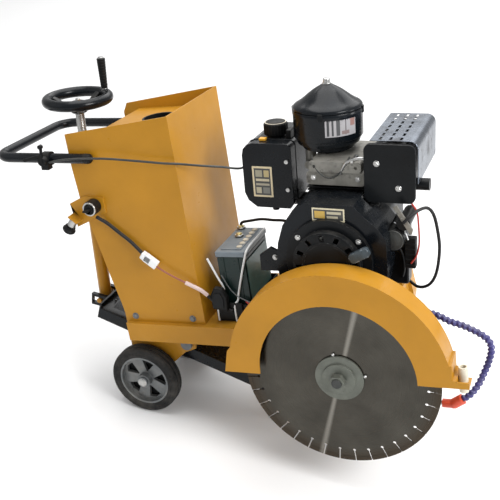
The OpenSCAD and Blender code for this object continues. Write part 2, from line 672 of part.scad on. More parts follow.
// ---------- wiring and hoses held by the machine ----------
module throttle_cable() color(black) placed() tube(throttle_route, 3, 6, 8);
module harness() color(black) placed() {
    tube(harness_route, 5, 5, 10);
    translate([112, -174, 495]) rotate([0, 40, 0]) box([-21, -8, -12], [21, 8, 12]);  // connector
    tube(starter_route, 4, 6, 8);
    tube(battery_route, 4, 6, 8);
}

// ---------- fasteners ----------
module bolts() color(steel) {
    placed() {
        for (x = [16, 198], s = [-1, 1]) hex_bolt([x, s * cheek, 314], s, 7, 5);
        for (x = [375, 410]) translate([x, -208, 290]) cylinder(r = 7, h = 5, $fn = 6);
        for (x = [512, 753], y = [-85, 85]) translate([x, y, 380]) cylinder(r = 6.5, h = 8, $fn = 6);
    }
    eng() {
        for (a = [38, 142, 218, 322]) translate([crank[0], 0, crank[2]]) rotate([0, -a, 0])
            hex_bolt([95.5, -214, 0], -1, 5, 4);
        for (x = [570, 682]) hex_bolt([x, -112, 700], -1, 5, 4);
        hex_bolt([731, -124, 746], -1, 6, 5);
        hex_bolt([783, -124, 686], -1, 6, 5);
        hex_bolt([458, -124, 478], -1, 6, 4);
    }
}

deck();
water_tank();
axle_pins();
handlebar();
rear_tyre_right();
rear_tyre_left();
rear_hub_right();
rear_hub_left();
front_tyre_right();
front_tyre_left();
front_hub_right();
front_hub_left();
swing_frame();
lift_tube();
lift_screw();
hand_wheel();
crank_grip();
arbor_shaft();
blade();
flange_set();
blade_pulley();
engine_pulley();
crankshaft();
v_belts();
belt_cover();
pillow_blocks();
blade_guard();
spray_pipe();
pointer_socket();
crankcase();
cylinder_block();
cylinder_head();
fan_shroud();
recoil_cover();
starter_handle();
fuel_tank();
fuel_cap();
intake_elbow();
air_cleaner();
air_cleaner_dome();
cleaner_nut();
muffler();
muffler_shield();
starter_motor();
battery();
battery_tray();
switch_bracket();
switch_bodies();
switch_key();
stop_knob();
lever_clamp();
throttle_lever();
decomp_lever();
water_valve();
valve_lever();
hose_couplings();
water_hose();
throttle_cable();
harness();
bolts();
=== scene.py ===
"""Walk-behind concrete saw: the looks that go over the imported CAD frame.
Positions are written in the saw's own level frame, in metres, with the rear axle at X = 0.
TILT takes them to the frame the CAD shares; ENG and LIFT add the engine's and screw's lean."""
import json
import math
import bpy
import bmesh
from mathutils import Matrix, Vector


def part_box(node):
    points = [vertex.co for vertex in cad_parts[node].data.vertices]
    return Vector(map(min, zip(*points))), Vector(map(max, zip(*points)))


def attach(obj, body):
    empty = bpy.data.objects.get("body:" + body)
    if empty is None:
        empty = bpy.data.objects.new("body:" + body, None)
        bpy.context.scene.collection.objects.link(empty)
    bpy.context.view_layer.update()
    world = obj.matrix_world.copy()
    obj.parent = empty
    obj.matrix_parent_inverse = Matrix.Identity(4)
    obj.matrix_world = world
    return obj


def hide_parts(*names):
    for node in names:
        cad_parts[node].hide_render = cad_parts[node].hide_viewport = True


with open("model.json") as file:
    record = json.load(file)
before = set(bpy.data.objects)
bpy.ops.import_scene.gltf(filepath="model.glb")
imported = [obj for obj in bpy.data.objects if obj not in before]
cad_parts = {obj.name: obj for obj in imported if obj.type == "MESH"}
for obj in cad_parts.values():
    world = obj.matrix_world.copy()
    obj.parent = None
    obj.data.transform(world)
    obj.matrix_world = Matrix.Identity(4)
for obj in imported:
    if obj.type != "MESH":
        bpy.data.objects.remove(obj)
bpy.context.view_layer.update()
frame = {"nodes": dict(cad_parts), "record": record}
scene = bpy.context.scene


def spin(deg, axis):
    return Matrix.Rotation(math.radians(deg), 4, axis)


def move(x, y, z):
    return Matrix.Translation((x, y, z))


def polar(r, deg):
    return r * math.cos(math.radians(deg)), r * math.sin(math.radians(deg))


def mm(points):
    """A route written in millimetres, as part.scad writes it."""
    return [(x / 1000, y / 1000, z / 1000) for x, y, z in points]


# ---------- the frames of part.scad ----------
AXLE = 0.100                     # height of the rear axle
WHEEL_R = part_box("rear_tyre_right")[1].z / 2
CRANK = (0.630, 0.0, 0.522)      # centre of the engine's crankshaft
SHAFT = (0.647, 0.0, 0.240)      # centre of the blade shaft
BLADE_Y = -0.283                 # middle plane of the blade
DECK_DEG, ENG_DEG, LIFT_DEG = -9, 4, 5.7
TILT = move(-0.2456, 0.047, WHEEL_R) @ spin(DECK_DEG, "Y") @ move(0, 0, -AXLE)
ENG = TILT @ move(*CRANK) @ spin(ENG_DEG, "Y") @ move(-CRANK[0], 0, -CRANK[2])
LIFT = TILT @ move(-0.184, 0, 0.292) @ spin(LIFT_DEG, "Y")
TO_Y = spin(-90, "X")            # a lathe's own Z turned to +Y
FRONT = spin(90, "X")            # a lathe's own Z turned to -Y

# ---------- camera ----------
cam_data = bpy.data.cameras.new("camera")
cam = bpy.data.objects.new("camera", cam_data)
scene.collection.objects.link(cam)
cam.location = (0.7660, -1.8979, 1.5227)
left, down = math.radians(20.85), math.radians(26.03)    # how far it looks off +Y
look = Vector((-math.sin(left) * math.cos(down), math.cos(left) * math.cos(down),
               -math.sin(down)))
cam.rotation_euler = look.to_track_quat("-Z", "Y").to_euler()
cam_data.lens = 59.22
cam_data.sensor_width = 36
scene.camera = cam


# ---------- materials ----------
# pairs are the two noise levels, heights or leans between which an effect comes in
CLOUD, SHEEN = (0.32, 0.68), (0.3, 0.7)
ROUGH_SWING = (0.78, 1.28)       # roughness wanders between these shares of its value
SPOT_EDGE, SPOT_COVER, SPOT_ROUGH = 0.09, 0.75, 0.12
MUD, MUD_HEIGHT, MUD_ROUGH = (0.42, 0.62), (0.30, 0.05), 0.3
FILM, FACES_UP, FILM_ROUGH = (0.34, 0.72), (0.2, 0.95), 0.45
CHIPPED, EDGE_LEAN = (0.52, 0.60), (0.99, 0.78)
COAT_ROUGH = 0.07


class Shader:
    """A Principled material with small helpers for its node tree."""

    def __init__(self, name, metal=0.0, coat=0.0, spec=0.5, aniso=0.0):
        self.m = bpy.data.materials.new(name)
        self.m.use_nodes = True
        self.n = self.m.node_tree.nodes
        self.b = self.n["Principled BSDF"]
        self.b.inputs["Metallic"].default_value = metal
        self.b.inputs["Coat Weight"].default_value = coat
        self.b.inputs["Coat Roughness"].default_value = COAT_ROUGH
        self.b.inputs["Specular IOR Level"].default_value = spec
        self.b.inputs["Anisotropic"].default_value = aniso
        self.geo = self.n.new("ShaderNodeNewGeometry")
        self.tc = self.n.new("ShaderNodeTexCoord")

    def link(self, a, b):
        self.m.node_tree.links.new(a, b)

    def space(self, scale):
        mp = self.n.new("ShaderNodeMapping")
        mp.inputs["Scale"].default_value = scale
        self.link(self.tc.outputs["Object"], mp.inputs["Vector"])
        return mp.outputs[0]

    def noise(self, scale, detail=4, rough=0.6, vec=None):
        t = self.n.new("ShaderNodeTexNoise")
        t.inputs["Scale"].default_value = scale
        t.inputs["Detail"].default_value = detail
        t.inputs["Roughness"].default_value = rough
        self.link(vec or self.tc.outputs["Object"], t.inputs["Vector"])
        return t.outputs["Fac"]

    def span(self, value, a, b, lo=0.0, hi=1.0):
        """value from a..b taken to lo..hi and held there past both ends."""
        r = self.n.new("ShaderNodeMapRange")
        for i, v in enumerate((a, b, lo, hi)):
            r.inputs[i + 1].default_value = v
        self.link(value, r.inputs[0])
        return r.outputs[0]

    def math(self, op, a, b):
        k = self.n.new("ShaderNodeMath")
        k.operation = op
        for i, v in enumerate((a, b)):
            if isinstance(v, (int, float)):
                k.inputs[i].default_value = v
            else:
                self.link(v, k.inputs[i])
        return k.outputs[0]

    def mix(self, fac, a, b):
        k = self.n.new("ShaderNodeMix")
        k.data_type = "RGBA"
        for i, v in ((0, fac), (6, a), (7, b)):
            if isinstance(v, (tuple, list)):
                k.inputs[i].default_value = (*v, 1)
            elif isinstance(v, (int, float)):
                k.inputs[i].default_value = v
            else:
                self.link(v, k.inputs[i])
        return k.outputs[2]

    def part(self, value, axis):
        s = self.n.new("ShaderNodeSeparateXYZ")
        self.link(value, s.inputs[0])
        return s.outputs[axis]

    def rim(self, radius):
        """1 on sharp edges, 0 on flats, from how far a rounded normal leans."""
        bev = self.n.new("ShaderNodeBevel")
        bev.samples = 4
        bev.inputs["Radius"].default_value = radius
        dot = self.n.new("ShaderNodeVectorMath")
        dot.operation = "DOT_PRODUCT"
        self.link(bev.outputs[0], dot.inputs[0])
        self.link(self.geo.outputs["Normal"], dot.inputs[1])
        return self.span(dot.outputs["Value"], *EDGE_LEAN)

    def bump(self, height, strength, dist=0.001):
        k = self.n.new("ShaderNodeBump")
        k.inputs["Strength"].default_value = strength
        k.inputs["Distance"].default_value = dist
        self.link(height, k.inputs["Height"])
        self.link(k.outputs[0], self.b.inputs["Normal"])


def finish_mat(name, col, rough, metal=0.0, coat=0.0, cloud=(5, 0.14), grain=(420, 0.12),
               chips=None, dust=0.0, splash=0.0, spots=None, stretch=(1, 1, 1), spec=0.5,
               dirt=(0.50, 0.45, 0.38)):
    """Colour that wanders, dust on what faces up, splashes low down and worn edges.

    cloud and grain are (noise scale, strength), spots is (colour, noise scale, level it
    starts at) and chips is (colour, edge radius, strength)."""
    s = Shader(name, metal, coat, spec)
    vec = s.space(stretch)
    scale, swing = cloud
    low, high = [c * (1 - swing) for c in col], [min(1, c * (1 + swing)) for c in col]
    colour = s.mix(s.span(s.noise(scale, 5, 0.62), *CLOUD), low, high)
    roughness = s.span(s.noise(scale * 6, 6, 0.7, vec), *SHEEN,
                       *(rough * share for share in ROUGH_SWING))

    def soil(where, tint, rougher):
        return (s.mix(where, colour, tint),
                s.math("ADD", roughness, s.math("MULTIPLY", where, rougher)))

    if spots:
        tint, scale, level = spots
        where = s.span(s.noise(scale, 7, 0.72), level, level + SPOT_EDGE)
        colour = s.mix(s.math("MULTIPLY", where, SPOT_COVER), colour, tint)
        roughness = s.math("ADD", roughness, s.math("MULTIPLY", where, SPOT_ROUGH))
    if splash:
        height = s.span(s.part(s.geo.outputs["Position"], 2), *MUD_HEIGHT)
        mud = s.math("MULTIPLY", height, s.span(s.noise(16, 8, 0.72), *MUD))
        colour, roughness = soil(s.math("MULTIPLY", mud, splash), dirt, MUD_ROUGH)
    if dust:
        up = s.span(s.part(s.geo.outputs["Normal"], 2), *FACES_UP)
        film = s.math("MULTIPLY", up, s.span(s.noise(38, 8, 0.7), *FILM))
        colour, roughness = soil(s.math("MULTIPLY", film, dust), dirt, FILM_ROUGH)
    if chips:
        tint, radius, amount = chips
        worn = s.math("MULTIPLY", s.rim(radius), s.span(s.noise(120, 5, 0.7), *CHIPPED))
        colour = s.mix(s.math("MULTIPLY", worn, amount), colour, tint)
    s.link(colour, s.b.inputs["Base Color"])
    s.link(roughness, s.b.inputs["Roughness"])
    s.bump(s.noise(grain[0], 3, 0.5, vec), grain[1])
    return s.m


YELLOW = finish_mat("yellow_paint", (0.430, 0.200, 0.012), 0.34, coat=0.06, cloud=(4, 0.10),
                    grain=(260, 0.10), chips=((0.16, 0.10, 0.05), 0.0022, 0.8), dust=0.09,
                    splash=0.28, dirt=(0.40, 0.30, 0.18), spots=((0.30, 0.14, 0.022), 11, 0.68),
                    spec=0.22)
ENAMEL = finish_mat("black_enamel", (0.0055, 0.0065, 0.0075), 0.34, coat=0.04, cloud=(9, 0.3),
                    grain=(240, 0.16), chips=((0.12, 0.12, 0.12), 0.0016, 0.8), dust=0.05,
                    spec=0.15)
GLOSS = finish_mat("black_gloss", (0.0040, 0.0055, 0.0075), 0.24, coat=0.06, cloud=(9, 0.3),
                   grain=(200, 0.05), chips=((0.10, 0.10, 0.10), 0.001, 0.5), dust=0.02,
                   spec=0.17)
SATIN = finish_mat("black_plastic", (0.0070, 0.0075, 0.0080), 0.45, cloud=(14, 0.25),
                   grain=(700, 0.2), dust=0.05, spec=0.16)
TYRE = finish_mat("tyre_rubber", (0.0150, 0.0150, 0.0150), 0.72, cloud=(18, 0.35), spec=0.22,
                  grain=(380, 0.35), dust=0.08, splash=0.09)
WIRE = finish_mat("wire_sleeve", (0.012, 0.012, 0.013), 0.5, grain=(900, 0.3), dust=0.10,
                  spec=0.25)
RED_WIRE = finish_mat("red_wire", (0.40, 0.03, 0.02), 0.4, grain=(900, 0.2), dust=0.1)
BROWN_WIRE = finish_mat("brown_wire", (0.28, 0.085, 0.055), 0.45, grain=(900, 0.2), dust=0.1)
WHITE_WIRE = finish_mat("white_wire", (0.80, 0.82, 0.83), 0.45, grain=(900, 0.2), dust=0.05)
ZINC = finish_mat("zinc_steel", (0.46, 0.46, 0.45), 0.30, metal=1, grain=(900, 0.10),
                  cloud=(30, 0.18), spots=((0.24, 0.20, 0.15), 60, 0.64))
# its dark spots are partly mottling of the sheet and partly painted shade for the dark louvre
# slots
SHEET = finish_mat("polished_sheet", (0.190, 0.215, 0.255), 0.26, metal=1, cloud=(14, 0.30),
                   grain=(60, 0.10), stretch=(1, 9, 1), dust=0.12, dirt=(0.30, 0.30, 0.30),
                   spots=((0.055, 0.055, 0.060), 15, 0.53))
CAST = finish_mat("cast_aluminium", (0.225, 0.218, 0.195), 0.52, metal=0.5, cloud=(18, 0.26),
                  grain=(520, 0.5), dust=0.16, spots=((0.06, 0.055, 0.05), 30, 0.56))
HUB = finish_mat("hub_aluminium", (0.150, 0.160, 0.165), 0.42, metal=0.65, cloud=(22, 0.2),
                 grain=(500, 0.35), dust=0.15, splash=0.2)
IRON = finish_mat("cast_iron", (0.045, 0.048, 0.046), 0.55, metal=0.4, cloud=(20, 0.3),
                  grain=(420, 0.6), dust=0.15, spots=((0.14, 0.09, 0.05), 40, 0.62))
CASE = finish_mat("battery_case", (0.006, 0.020, 0.018), 0.32, cloud=(9, 0.2), coat=0.03,
                  grain=(500, 0.12), dust=0.10, spec=0.3)
# a lighter copy of the battery case's teal: painted light for the light falling on the battery's
# right side
BATTERY_LIT_SIDE = finish_mat("battery_side_painted_light", (0.120, 0.250, 0.240), 0.34, cloud=(9, 0.2), coat=0.1,
                  grain=(500, 0.12), dust=0.10, spec=0.35)
LID = finish_mat("battery_lid", (0.150, 0.185, 0.215), 0.40, cloud=(9, 0.16), grain=(600, 0.15),
                 dust=0.15)
BRASS = finish_mat("brass", (0.70, 0.58, 0.26), 0.32, metal=0.8, cloud=(60, 0.2),
                   grain=(600, 0.15))
HOSE = finish_mat("hose_plastic", (0.026, 0.023, 0.125), 0.28, coat=0.15, cloud=(30, 0.3),
                  grain=(400, 0.08), dust=0.14)
RED = finish_mat("red_plastic", (0.56, 0.060, 0.022), 0.34, cloud=(20, 0.15),
                 grain=(500, 0.12), dust=0.10)
CREAM = finish_mat("cream_paint", (0.62, 0.57, 0.46), 0.45, cloud=(20, 0.12),
                   grain=(400, 0.12), dust=0.12, splash=0.2)
PINK = finish_mat("faded_sleeve", (0.62, 0.48, 0.45), 0.5, grain=(900, 0.2), dust=0.1)
GREY = finish_mat("grey_paint", (0.120, 0.130, 0.138), 0.42, cloud=(18, 0.25), coat=0.05,
                  grain=(420, 0.3), dust=0.2, chips=((0.36, 0.35, 0.34), 0.0014, 0.7))
GUNMETAL = finish_mat("gunmetal", (0.050, 0.070, 0.085), 0.30, metal=0.4, cloud=(40, 0.3),
                      grain=(500, 0.15), dust=0.05, chips=((0.62, 0.70, 0.78), 0.0042, 1.0))
STONE = finish_mat("flange_paint", (0.118, 0.126, 0.106), 0.46, metal=0.35, cloud=(24, 0.2),
                   grain=(420, 0.3), dust=0.12, spots=((0.07, 0.065, 0.05), 50, 0.62))
ORANGE = finish_mat("orange_plastic", (0.72, 0.36, 0.03), 0.4, grain=(500, 0.1))


def blade_mat():
    """Ground steel: fine rings round the arbor, and a bright streak painted into its colour as a
    highlight.
    """
    core, edge = 0.213, 0.245    # radii between which the core turns to the worn rim
    lean = math.radians(8)       # the lean from upright of the painted highlight streak
    spread, waist = 0.020, 0.006
    s = Shader("blade_steel", metal=1.0, aniso=0.92)
    centre = TILT @ Vector((SHAFT[0], BLADE_Y, SHAFT[2]))

    def vec(op, a, b, out=0):
        k = s.n.new("ShaderNodeVectorMath")
        k.operation = op
        for i, v in enumerate((a, b)):
            if isinstance(v, (tuple, Vector)):
                k.inputs[i].default_value = v
            elif v is not None:
                s.link(v, k.inputs[i])
        return k.outputs[out]

    off = vec("SUBTRACT", s.tc.outputs["Object"], centre)
    size = vec("LENGTH", off, None, "Value")
    rings = s.n.new("ShaderNodeTexNoise")
    rings.noise_dimensions = "1D"
    rings.inputs["Scale"].default_value = 900
    rings.inputs["Detail"].default_value = 3
    s.link(size, rings.inputs["W"])
    base = s.mix(s.span(s.noise(7, 5), 0.3, 0.7), (0.046, 0.043, 0.037), (0.078, 0.073, 0.062))
    base = s.mix(s.span(size, core, edge), base, (0.055, 0.044, 0.033))
    base = s.mix(s.span(s.noise(46, 9, 0.72), 0.60, 0.74, 0, 0.45), base, (0.050, 0.034, 0.024))
    # a bright streak painted into the base colour as a highlight, fixed to the blade and wider
    # away from the arbor
    across = s.math("ABSOLUTE", vec("DOT_PRODUCT", off, Vector(
        (math.cos(lean), 0, -math.sin(lean))), "Value"), 0)
    wide = s.math("ADD", s.math("MULTIPLY", size, spread), waist)
    painted_highlight = s.span(s.math("DIVIDE", across, wide), 1.0, 0.2, 0, 0.5)
    base = s.mix(painted_highlight, base, (0.330, 0.315, 0.280))
    s.link(base, s.b.inputs["Base Color"])
    s.link(s.span(rings.outputs["Fac"], 0.3, 0.7, 0.24, 0.32), s.b.inputs["Roughness"])
    turn = s.n.new("ShaderNodeVectorTransform")
    turn.vector_type = "VECTOR"
    turn.convert_from, turn.convert_to = "OBJECT", "WORLD"
    s.link(vec("NORMALIZE", vec("CROSS_PRODUCT", (0.0, 1.0, 0.0), off), None), turn.inputs[0])
    s.link(turn.outputs[0], s.b.inputs["Tangent"])
    s.bump(rings.outputs["Fac"], 0.10, 0.0004)
    return s.m


BLADE = blade_mat()


def label_mat(name, paper, ink, matrix, lo, hi, bands):
    """A printed plate of plain coloured bars, with no lettering.

    lo and hi are its corners in the matrix's XZ, bands are (x0, x1, z0, z1, colour) as
    shares of its size, and ink is the colour of the worn spots."""
    s = Shader(name, coat=0.2)
    inv = matrix.inverted()
    place = s.n.new("ShaderNodeMapping")
    place.inputs["Location"].default_value = inv.translation
    place.inputs["Rotation"].default_value = inv.to_euler()
    s.link(s.tc.outputs["Object"], place.inputs["Vector"])
    x, z = s.part(place.outputs[0], 0), s.part(place.outputs[0], 2)
    w, h = hi[0] - lo[0], hi[1] - lo[1]

    def inside(value, a, b):
        return s.math("MULTIPLY", s.math("GREATER_THAN", value, a),
                      s.math("LESS_THAN", value, b))

    colour = paper
    for x0, x1, z0, z1, tint in bands:
        fac = s.math("MULTIPLY", inside(x, lo[0] + w * x0, lo[0] + w * x1),
                     inside(z, lo[1] + h * z0, lo[1] + h * z1))
        colour = s.mix(fac, colour, tint)
    worn = s.span(s.noise(90, 7, 0.72), 0.60, 0.68, 0, 0.6)
    colour = s.mix(worn, colour, ink)
    s.link(colour, s.b.inputs["Base Color"])
    s.link(s.span(s.noise(50), 0.3, 0.7, 0.3, 0.5), s.b.inputs["Roughness"])
    s.bump(s.noise(300), 0.08)
    return s.m


# ---------- mesh helpers ----------
SAME_POINT, SAME_CAD_POINT = 1e-6, 2e-5
FLAT_DEG = 0.6                   # CAD facets that meet flatter than this are joined


def finish_piece(name, me, mat, body, node=None, slot=None, bevel=0.0, seg=2, sharp=38):
    """Makes the object that rides on body, stands for node and carries mat; slot is not used."""
    o = bpy.data.objects.new(name, me)
    scene.collection.objects.link(o)
    me.materials.clear()
    me.materials.append(mat)
    me.polygons.foreach_set("use_smooth", [True] * len(me.polygons))
    me.set_sharp_from_angle(angle=math.radians(sharp))
    if bevel:
        b = o.modifiers.new("edges", "BEVEL")
        b.width = bevel
        b.segments = seg
        b.limit_method = "ANGLE"
        b.angle_limit = math.radians(sharp)
        b.use_clamp_overlap = True
        b.harden_normals = True
    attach(o, body)
    if node:
        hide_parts(node)
    return o


def from_bm(name, bm, mat, body, matrix=Matrix(), **kw):
    bmesh.ops.remove_doubles(bm, verts=bm.verts, dist=SAME_POINT)
    bmesh.ops.recalc_face_normals(bm, faces=bm.faces)
    me = bpy.data.meshes.new(name)
    bm.to_mesh(me)
    bm.free()
    me.transform(matrix)
    return finish_piece(name, me, mat, body, **kw)


SLOTS = {p["node"]: p["material_slot"] for p in frame["record"]["subparts"]}
BODY = {n: b for b, ns in frame["record"]["behaviour"]["bodies"].items() for n in ns}


def skin(node, mat, bevel):
    """The CAD node's own shape, cleaned, with rounded edges and a real finish."""
    bm = bmesh.new()
    bm.from_mesh(frame["nodes"][node].data)
    bmesh.ops.remove_doubles(bm, verts=bm.verts, dist=SAME_CAD_POINT)
    bmesh.ops.dissolve_limit(bm, angle_limit=math.radians(FLAT_DEG), verts=bm.verts,
                             edges=bm.edges)
    me = bpy.data.meshes.new(node + "_skin")
    bm.to_mesh(me)
    bm.free()
    return finish_piece(node + "_skin", me, mat, BODY[node], node, SLOTS[node], bevel)


def lathe(name, profile, mat, body, matrix, steps=72, **kw):
    """profile is (radius, height) pairs turned round the matrix's own Z.
    An end off the axis gets a flat cap, unless the profile closes on itself."""
    bm = bmesh.new()
    rings = []
    for r, h in profile:
        if r <= SAME_POINT:
            rings.append([bm.verts.new((0, 0, h))])
        else:
            rings.append([bm.verts.new((r * math.cos(2 * math.pi * k / steps),
                                        r * math.sin(2 * math.pi * k / steps), h))
                          for k in range(steps)])
    for a, b in zip(rings, rings[1:]):
        for k in range(steps):
            j = (k + 1) % steps
            face = list(dict.fromkeys((a[k % len(a)], a[j % len(a)],
                                       b[j % len(b)], b[k % len(b)])))
            if len(face) > 2:
                bm.faces.new(face)
    for ring in (rings[0], rings[-1]):
        if len(ring) > 1 and profile[0] != profile[-1]:
            bm.faces.new(ring)
    return from_bm(name, bm, mat, body, matrix, **kw)


def oval(centre, wide, tall, step):
    """A closed oval section for lathe, its middle at radius centre."""
    ring = [(centre + polar(wide, a)[0], polar(tall, a)[1]) for a in range(0, 360, step)]
    return ring + ring[:1]


def torus(name, big, small, mat, body, matrix, steps, **kw):
    return lathe(name, oval(big, small, small, 20), mat, body, matrix, steps, **kw)


def slab(name, pts, y0, y1, mat, body, matrix, **kw):
    """An outline in XZ made solid along Y."""
    bm = bmesh.new()
    front = [bm.verts.new((x, y0, z)) for x, z in pts]
    back = [bm.verts.new((x, y1, z)) for x, z in pts]
    bm.faces.new(front)
    bm.faces.new(back[::-1])
    for k in range(len(pts)):
        j = (k + 1) % len(pts)
        bm.faces.new([front[k], front[j], back[j], back[k]])
    return from_bm(name, bm, mat, body, matrix, **kw)


def block(name, lo, hi, mat, body, matrix, bevel=0.0015, **kw):
    pts = [(lo[0], lo[2]), (hi[0], lo[2]), (hi[0], hi[2]), (lo[0], hi[2])]
    return slab(name, pts, lo[1], hi[1], mat, body, matrix, bevel=bevel, **kw)


def smooth_line(pts, n=8):
    """The same smooth curve through a route as part.scad draws."""
    p = [Vector(v) for v in pts]

    def at(i):
        return p[max(0, min(len(p) - 1, i))]

    out = []
    for i in range(len(p) - 1):
        a, b, c, d = at(i - 1), at(i), at(i + 1), at(i + 2)
        for k in range(n):
            t = k / n
            out.append(0.5 * (2 * b + t * (c - a) + t * t * (2 * a - 5 * b + 4 * c - d)
                              + t ** 3 * (3 * b - a - 3 * c + d)))
    return out + [p[-1]]


OFF_AXIS = Vector((0.21, 0.3, 0.93))     # a direction that no pipe starts along


def pipe(name, path, radius, mat, body, matrix=Matrix(), sides=14, **kw):
    """A tube along a path; radius is a number or a function of (distance, angle)."""
    pts = [matrix @ Vector(v) for v in path]
    bm = bmesh.new()
    side = None
    rings, run = [], 0.0
    for i, q in enumerate(pts):
        t = (pts[min(i + 1, len(pts) - 1)] - pts[max(i - 1, 0)]).normalized()
        if side is None:
            side = t.cross(OFF_AXIS).normalized()
        side = (side - t * side.dot(t)).normalized()
        other = t.cross(side)
        if i:
            run += (q - pts[i - 1]).length
        ring = []
        for k in range(sides):
            a = 2 * math.pi * k / sides
            r = radius(run, a) if callable(radius) else radius
            ring.append(bm.verts.new(q + r * (math.cos(a) * side + math.sin(a) * other)))
        rings.append(ring)
    for a, b in zip(rings, rings[1:]):
        for k in range(sides):
            bm.faces.new([a[k], a[(k + 1) % sides], b[(k + 1) % sides], b[k]])
    bm.faces.new(rings[0])
    bm.faces.new(rings[-1][::-1])
    return from_bm(name, bm, mat, body, **kw)


# (sides, radius, height) of a washer and head, as shares of the head's radius
HEX_ROWS = [(24, 1.40, 0.0), (24, 1.40, 0.18), (24, 1.32, 0.25), (6, 1.0, 0.25),
            (6, 1.0, 0.85), (6, 0.86, 0.98)]


def hexes(name, spots, mat, body, matrix, **kw):
    """Washer, six-sided head and domed end for each (point, axis matrix, size)."""
    bm = bmesh.new()
    for p, turn, r in spots:
        at = Matrix.Translation(p) @ turn
        last = None
        for n, k, h in HEX_ROWS:
            ring = [bm.verts.new(at @ Vector((r * k * math.cos(2 * math.pi * i / n),
                                              r * k * math.sin(2 * math.pi * i / n), r * h)))
                    for i in range(n)]
            if last is None or len(last) != n:
                if last is not None:
                    bm.faces.new(last)
                bm.faces.new(ring[::-1])
            else:
                for i in range(n):
                    j = (i + 1) % n
                    bm.faces.new([last[i], last[j], ring[j], ring[i]])
            last = ring
        bm.faces.new(last)
    return from_bm(name, bm, mat, body, matrix, sharp=25, **kw)


# ---------- sheet metal and castings kept in the CAD's own shape ----------
for node, mat, bevel in (
        ("deck", YELLOW, 0.0010), ("water_tank", YELLOW, 0.0012), ("belt_cover", YELLOW, 0.0020),
        ("blade_guard", YELLOW, 0.0012), ("switch_bracket", YELLOW, 0.0008),
        ("lift_tube", YELLOW, 0.0010), ("swing_frame", GLOSS, 0.0012),
        ("axle_pins", GREY, 0.0010), ("arbor_shaft", IRON, 0.0010), ("crankshaft", ZINC, 0.0008),
        ("spray_pipe", ZINC, 0), ("blade", BLADE, 0), ("flange_set", STONE, 0.0010),
        ("blade_pulley", IRON, 0.0008), ("engine_pulley", IRON, 0.0008),
        ("pillow_blocks", IRON, 0.0015), ("pointer_socket", CREAM, 0.0008),
        ("rear_hub_right", HUB, 0.0010), ("rear_hub_left", HUB, 0.0010),
        ("front_hub_right", HUB, 0.0008), ("front_hub_left", HUB, 0.0008),
        ("crankcase", ENAMEL, 0.0020), ("cylinder_block", ENAMEL, 0.0006),
        ("cylinder_head", CAST, 0.0020), ("fan_shroud", GLOSS, 0.0030),
        ("recoil_cover", ENAMEL, 0.0015), ("starter_handle", GUNMETAL, 0.0015),
        ("fuel_tank", GLOSS, 0.0040), ("intake_elbow", CAST, 0.0010), ("muffler", ENAMEL, 0.0025),
        ("muffler_shield", SHEET, 0.0006), ("starter_motor", ENAMEL, 0.0015),
        ("battery_tray", SATIN, 0.0010), ("switch_key", SATIN, 0.0006),
        ("lever_clamp", SATIN, 0.0012), ("throttle_lever", SATIN, 0.0010),
        ("decomp_lever", ZINC, 0.0008), ("water_valve", ZINC, 0.0010),
        ("valve_lever", RED, 0.0006), ("hose_couplings", RED, 0.0010), ("v_belts", SATIN, 0),
        ("battery", CASE, 0.0020)):
    skin(node, mat, bevel)


# ---------- tyres, painted-shade discs behind the hubs, and hub caps ---
def tyre(node, r, w, centre):
    """Bead, bulged side with a moulded ring, round shoulder and two tread grooves."""
    h, groove = w / 2, r - 0.0028
    side = [(r * 0.742, h - 0.004), (r * 0.80, h - 0.0002), (r * 0.84, h),
            (r * 0.86, h - 0.0012), (r * 0.88, h), (r - 0.009, h - 0.0006),
            (r - 0.004, h - 0.0030), (r - 0.0012, h - 0.007), (r, h - 0.012),
            (r, h * 0.42), (groove, h * 0.38), (groove, h * 0.26), (r, h * 0.22)]
    prof = side + [(a, -b) for a, b in side[::-1]] + [side[0]]
    lathe(node + "_tread", prof, TYRE, BODY[node], TILT @ move(*centre) @ TO_Y, 96,
          node=node, slot="tyre_rubber", sharp=50)


hub_lo, hub_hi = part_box("front_hub_right")
front = TILT.inverted() @ Vector(((hub_lo + hub_hi).x / 2, 0, (hub_lo + hub_hi).z / 2))
for tag, sgn in (("right", -1), ("left", 1)):
    tyre("rear_tyre_" + tag, WHEEL_R, 0.050, (0, sgn * 0.1495, AXLE))
    tyre("front_tyre_" + tag, 0.080, 0.038, (front.x, sgn * 0.050, front.z))
    face = FRONT if sgn < 0 else TO_Y
    # a black disc behind the hub's spoke windows, so they read as dark shaded recesses: painted
    # shade
    lathe("hub_shade_disc_" + tag, [(0.020, 0), (0.0775, 0), (0.0775, 0.002), (0.020, 0.002),
          (0.020, 0)], SATIN, BODY["rear_hub_" + tag],
          TILT @ move(0, sgn * 0.1380, AXLE) @ face, 64, slot="black_plastic")
    lathe("hub_cap_" + tag, [(0, 0.0035), (0.009, 0.0030), (0.013, 0.0015), (0.0142, 0)], ZINC,
          "chassis", TILT @ move(0, sgn * 0.181, AXLE) @ face, 40, slot="zinc_steel")

